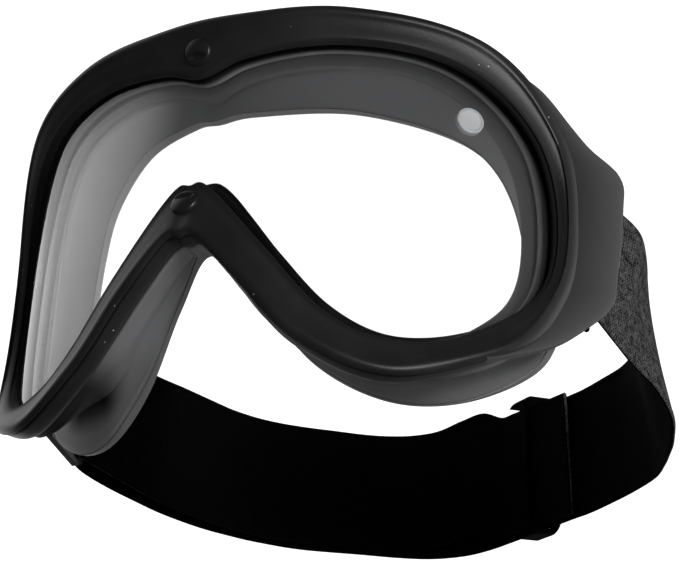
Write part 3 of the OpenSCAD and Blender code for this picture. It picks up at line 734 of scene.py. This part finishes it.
def vent_strip(run, side):
    """Foam strip lying in a vent: a rectangular profile carried between two stations."""
    i = np.arange((run[0] + 1) * PER, (run[1] - 1) * PER + 1)
    low = band[i] - GROOVE - trough[i] + 0.2
    high = low + trough[i] * 0.5
    m = np.stack([low, low, low, high, high, high], -1)
    d = np.broadcast_to([6.8, 6, 5.05, 5.05, 6, 6.8], m.shape)
    p = opening[i][:, None] + outward[i][:, None] * m[..., None]
    q = wrapped(p[..., 0], p[..., 1], d)
    q[..., 0] *= side
    return at_rest(q)


for run, word in ((BROW_VENT, "brow_foam_"), (CHEEK_VENT, "cheek_foam_")):
    for side, hand in ((1, "left"), (-1, "right")):
        piece("strip_" + word + hand, vent_strip(run, side), foam, "goggles", "vent_foam", [word + hand],
              ring_shut=False)


# Strap
def slung(x, u, v):
    """Point in a clip's plane: u to the rear of the pivot and v up, along the strap's slope."""
    return [x, pivot[1] + MID_Y + u * math.cos(SLOPE) + v * math.sin(SLOPE),
            pivot[2] - u * math.sin(SLOPE) + v * math.cos(SLOPE)]


RUN_AT, RUN_TURN, RUN_Z = np.array([22.0, 188.0]), math.radians(-38.7), 1.6
RUN_DIR = np.array([math.cos(RUN_TURN), math.sin(RUN_TURN)])
RUN_OUT = np.array([-RUN_DIR[1], RUN_DIR[0]])
LAYER = STRAP_T + STRAP_GAP
V_LEFT, V_RIGHT = 0.5, 4.0
TURN_R = STRAP_T / 2 + STRAP_GAP


def on_run(e1, e2, z):
    """Route point on the straight run under the slider: e1 along it, e2 out from it and z up."""
    p = RUN_AT + RUN_DIR * e1 + RUN_OUT * e2
    return [p[0], p[1], z, 0, 0]


# Routes of the webbing's lower edge: x, y, z, and how far it leans out and rolls there, in degrees
INNER_ROUTE = [on_run(e, -LAYER, z) for e, z in ((22, 2.4), (10, 2.8), (0, 3.2), (-10, 3.6), (-17, 4.2))] + [
    [0, 200, 7.4, 0, 0], [-9, 203, 6.6, 0, 0], [-19, 206, 5, 0, 0], [-28, 205, 4.4, 0, 0],
    [-36, 201, 4.3, 0, 0], [-42, 194, 4, 0, 0], [-48, 185, 3.8, 0, 0], [-54, 176, 3.6, 0, 0],
    [-59, 166, 3.3, 0, 0], [-62.5, 155, 3, 0, 0], [-64.5, 143, 2.8, 0, 0], [-65, 133, 2.7, 0, 0],
    [-65.5, 113, 2.6, 4, 0], [-67.5, 98, 4, 12, 0], [-73, 90, 8, 18, 0]]
OUTER_ROUTE = [[-84, 86, 11, 21, 0], [-80, 93.5, 7.6, 16, 0], [-75, 101, 4.4, 10, 0], [-71.5, 111, 2.2, 5, 0],
               [-70, 131, 1.8, 0, 0], [-67.5, 148, 1.9, 0, 0], [-64, 161, 1.9, 0, 0], [-57, 177, 1.9, 0, 0],
               [-43, 194, 1.9, 0, 0], [-34, 205, 1.9, 0, 0], [-25, 212, 1.9, 0, 0], [-14, 213, 1.9, 0, 0],
               [-3, 207.5, 1.7, 0, 0]] + [on_run(e, 0, RUN_Z) for e in (-17, 0, 20)]
RIGHT_ROUTE = [[45, 170.5, 1.8, 0, 0], [54, 163, 2.2, 0, 0], [64, 153, 2.4, 0, 0], [75, 138.5, 2.1, 0, 4],
               [82, 124, 1.7, 0, 10], [86.5, 113, 1.4, 3, 14], [90.5, 104, 2.7, 8, 16], [93, 96, 7, 15, 14],
               [91.6, 88, 13, 20, 8], [88.4, 79, 17.8, 22, -1], [87, 70, 21, 22, -4]]


def bar_turn(side, length, v0):
    """Route round a clip's rear bar: two quarter turns of radius TURN_R, the bar's thickness apart."""
    a = np.radians(np.arange(180, 271, 10))
    arc = np.stack([TURN_R * np.cos(a), TURN_R * np.sin(a)], -1)
    back = arc[::-1] * [-1, 1] + [CLIP_T, 0]
    path = np.concatenate([[[-TURN_R, 0.8]], arc, back, [[CLIP_T + TURN_R, 0.8]]])
    low = v0 - STRAP_W / 2
    return np.array([slung(side * (CLIP_X + x), length - BAR_W + u, low) + [SLOPE_DEG, 0] for x, u in path])


left_turn = bar_turn(-1, CLIP_LEFT_L, V_LEFT)
right_turn = bar_turn(1, CLIP_RIGHT_L, V_RIGHT)[::-1]
right_end = slung(CLIP_X - TURN_R, CLIP_RIGHT_L + 4, V_RIGHT - STRAP_W / 2) + [SLOPE_DEG, 0]
inner_line = smooth(np.vstack([INNER_ROUTE, left_turn[:1]]), 8, False)[:-1]
outer_line = smooth(np.vstack([left_turn[-1:], OUTER_ROUTE, RIGHT_ROUTE, right_turn[:1]]), 8, False)[:-1]
strap_line = np.concatenate([inner_line, left_turn[:-1], outer_line, right_turn, [right_end]])

# The webbing's section: shares of its width, and of half its thickness there, thick at both selvedges
UP_IT = np.array([0.0, 0.006, 0.02, 0.035, 0.048, 0.075, 0.2, 0.35, 0.5, 0.65, 0.8, 0.925, 0.952, 0.965, 0.98,
                  0.994, 1.0])
THICK = np.array([0.15, 0.75, 1, 1, 0.72, 0.92, 0.95, 0.95, 0.95, 0.95, 0.95, 0.92, 0.72, 1, 1, 0.75, 0.15])


def strap():
    """Webbing: at each point of the route the width runs up its lean and roll, and a flat oval profile with a
    thicker selvedge at both edges is carried along. The second result is the distance along and up it."""
    low = strap_line[:, :3]
    t = np.zeros_like(low)
    step = unit(np.diff(low, axis=0))
    t[:-1] += step
    t[1:] += step
    t = unit(t)
    lean, roll = np.radians(strap_line[:, 3]), np.radians(strap_line[:, 4])
    leant = np.stack([0 * lean, np.sin(lean), np.cos(lean)], -1)
    up = leant * np.cos(roll)[:, None] + unit(np.cross(t, leant)) * np.sin(roll)[:, None]
    side = unit(np.cross(t, up))
    run = np.concatenate([[0], np.cumsum(np.linalg.norm(np.diff(low, axis=0), axis=1))])
    h, half = STRAP_W * UP_IT, STRAP_T / 2 * THICK
    h, half = np.concatenate([h, h[::-1]]), np.concatenate([half, -half[::-1]])
    p = low[:, None] + up[:, None] * h[None, :, None] + side[:, None] * half[None, :, None]
    # Which face carries the inner face's painted shade changes at the left turn
    turned = np.arange(len(run)) < len(inner_line) + len(left_turn) // 2
    outer = (half < 0)[None] ^ turned[:, None]
    return p - [0, MID_Y, 0], np.stack(np.broadcast_arrays(run[:, None], h[None] + OUTER_V * outer), -1)


def softened(node, name, finish, body, width):
    """A copy of a CAD node's plate, merged and with a small round along its edges."""
    mesh = frame["nodes"][node].data.copy()
    mesh.materials.clear()
    o = place(name, mesh, finish, body, [node])
    weld = o.modifiers.new("weld", "WELD")
    weld.merge_threshold = 1e-5
    flat = o.modifiers.new("flat", "DECIMATE")
    flat.decimate_type, flat.angle_limit = "DISSOLVE", math.radians(2)
    edge = o.modifiers.new("round", "BEVEL")
    edge.width, edge.segments, edge.limit_method, edge.angle_limit = width, 2, "ANGLE", math.radians(40)


points, weave_map = strap()
piece("strap", points, strap_webbing, "strap", "webbing", ["strap_band"], ring_shut=False, uv=weave_map,
      sharp=70)
for hand in ("left", "right"):
    softened("strap_clip_" + hand, "clip_" + hand, clip_plastic, "strap", 0.0004)
    pin = frame["nodes"]["pivot_pin_" + hand].data
    pin.materials.clear()
    pin.materials.append(clip_plastic)
softened("strap_slider", "slider", slider_plastic, "slider", 0.0003)

# Camera, with its angles in degrees and its place in metres
CAMERA_TURN, CAMERA_RISE, CAMERA_ROLL = 25.2035, -19.7294, -0.7202
CAMERA_AT, FOCAL, SENSOR = (0.2248, (-389.39 - MID_Y) / 1000, -0.13092), 102.62, 36


def set_camera():
    """Looks along the direction of its turn and rise, then rolls about it."""
    camera = bpy.data.objects.new("camera", bpy.data.cameras.new("camera"))
    bpy.context.scene.collection.objects.link(camera)
    turn, rise, roll = np.radians([CAMERA_TURN, CAMERA_RISE, CAMERA_ROLL])
    back = np.array([math.sin(turn) * math.cos(rise), -math.cos(turn) * math.cos(rise), math.sin(rise)])
    right = unit(np.cross([0, 0, 1], back))
    up = np.cross(back, right)
    axes = [math.cos(roll) * right + math.sin(roll) * up, -math.sin(roll) * right + math.cos(roll) * up, back]
    view = Matrix(np.array(axes).T.tolist()).to_4x4()
    view.translation = CAMERA_AT
    camera.matrix_world = view
    camera.data.lens, camera.data.sensor_width = FOCAL, SENSOR
    camera.data.clip_start, camera.data.clip_end = 0.01, 20
    bpy.context.scene.camera = camera


def floor_finish():
    """Pale floor seen from above and clear from below, where the camera stands lower than the table's top."""
    f = Finish("floor")
    f.set({"Base Color": (0.9, 0.9, 0.9, 1), "Roughness": 0.9, "Emission Color": (1, 1, 1, 1),
           "Emission Strength": 0.6})
    under = f.add("ShaderNodeNewGeometry", out="Backfacing")
    f.blend(Value(f, f.shader.outputs[0]), under, f.add("ShaderNodeBsdfTransparent"))
    return f.material


FLOOR_HALF, FLOOR_DROP = 3, 0.0002
set_camera()
floor_mesh = bpy.data.meshes.new("floor")
floor_mesh.from_pydata([(x * FLOOR_HALF, y * FLOOR_HALF, 0) for x, y in ((-1, -1), (1, -1), (1, 1), (-1, 1))],
                       [], [(0, 1, 2, 3)])
floor = bpy.data.objects.new("floor", floor_mesh)
floor.location.z = -FLOOR_DROP
bpy.context.scene.collection.objects.link(floor)
floor_mesh.materials.append(floor_finish())
floor.visible_shadow = floor.visible_glossy = False


def softbox(name, at, size, watts, aim):
    """Rectangular light that faces the point it is aimed at."""
    light = bpy.data.lights.new(name, "AREA")
    light.shape, light.size, light.size_y, light.energy = "RECTANGLE", size[0], size[1], watts
    o = bpy.data.objects.new(name, light)
    bpy.context.scene.collection.objects.link(o)
    o.location = at
    o.rotation_euler = Vector(np.array(at) - np.array(aim)).to_track_quat("Z", "Y").to_euler()


# The studio's walls: the direction of each, the cosines where its light starts and is full, and its strength
WALLS = (((0, 1, 0), 0.0, 0.8, 0.2), ((0.92, 0.38, -0.1), 0.4, 0.9, 0.28), ((-0.7, 0, 0.72), 0.82, 0.97, 0.8),
         ((-0.75, 0.64, 0.15), 0.86, 1.0, 0.8), ((0.77, 0.64, 0.08), 0.86, 1.0, 1.6))
ROOM, BRIGHT = 0.02, 1.3


def studio():
    """Pale walls behind, beside and above a dark room: the light from a direction is the room's plus a smooth
    step for each wall, by the cosine between the two. The camera itself sees white."""
    world = bpy.data.worlds.new("studio")
    bpy.context.scene.world = world
    world.use_nodes = True
    sky = Nodes(world.node_tree)
    way = sky.add("ShaderNodeTexCoord", out="Generated")
    total = ROOM
    for toward, low, high, share in WALLS:
        near = sky.add("ShaderNodeVectorMath", {"operation": "DOT_PRODUCT"}, {0: way, 1: toward}, out="Value")
        total = total + sky.add("ShaderNodeMapRange", {"interpolation_type": "SMOOTHSTEP"},
                                {0: near, 1: low, 2: high, 3: 0.0, 4: share})
    seen = sky.add("ShaderNodeLightPath", out="Is Camera Ray")
    background = world.node_tree.nodes["Background"]
    sky.feed(background, "Strength", total.at_least(seen) * BRIGHT)
    sky.feed(background, "Color", (1, 1, 1, 1))


softbox("key_right", (0.7, -0.6, 0.16), (0.4, 0.3), 10.0, aim=(0, -0.05, 0.05))
studio()
bpy.context.scene.view_settings.view_transform = "Standard"
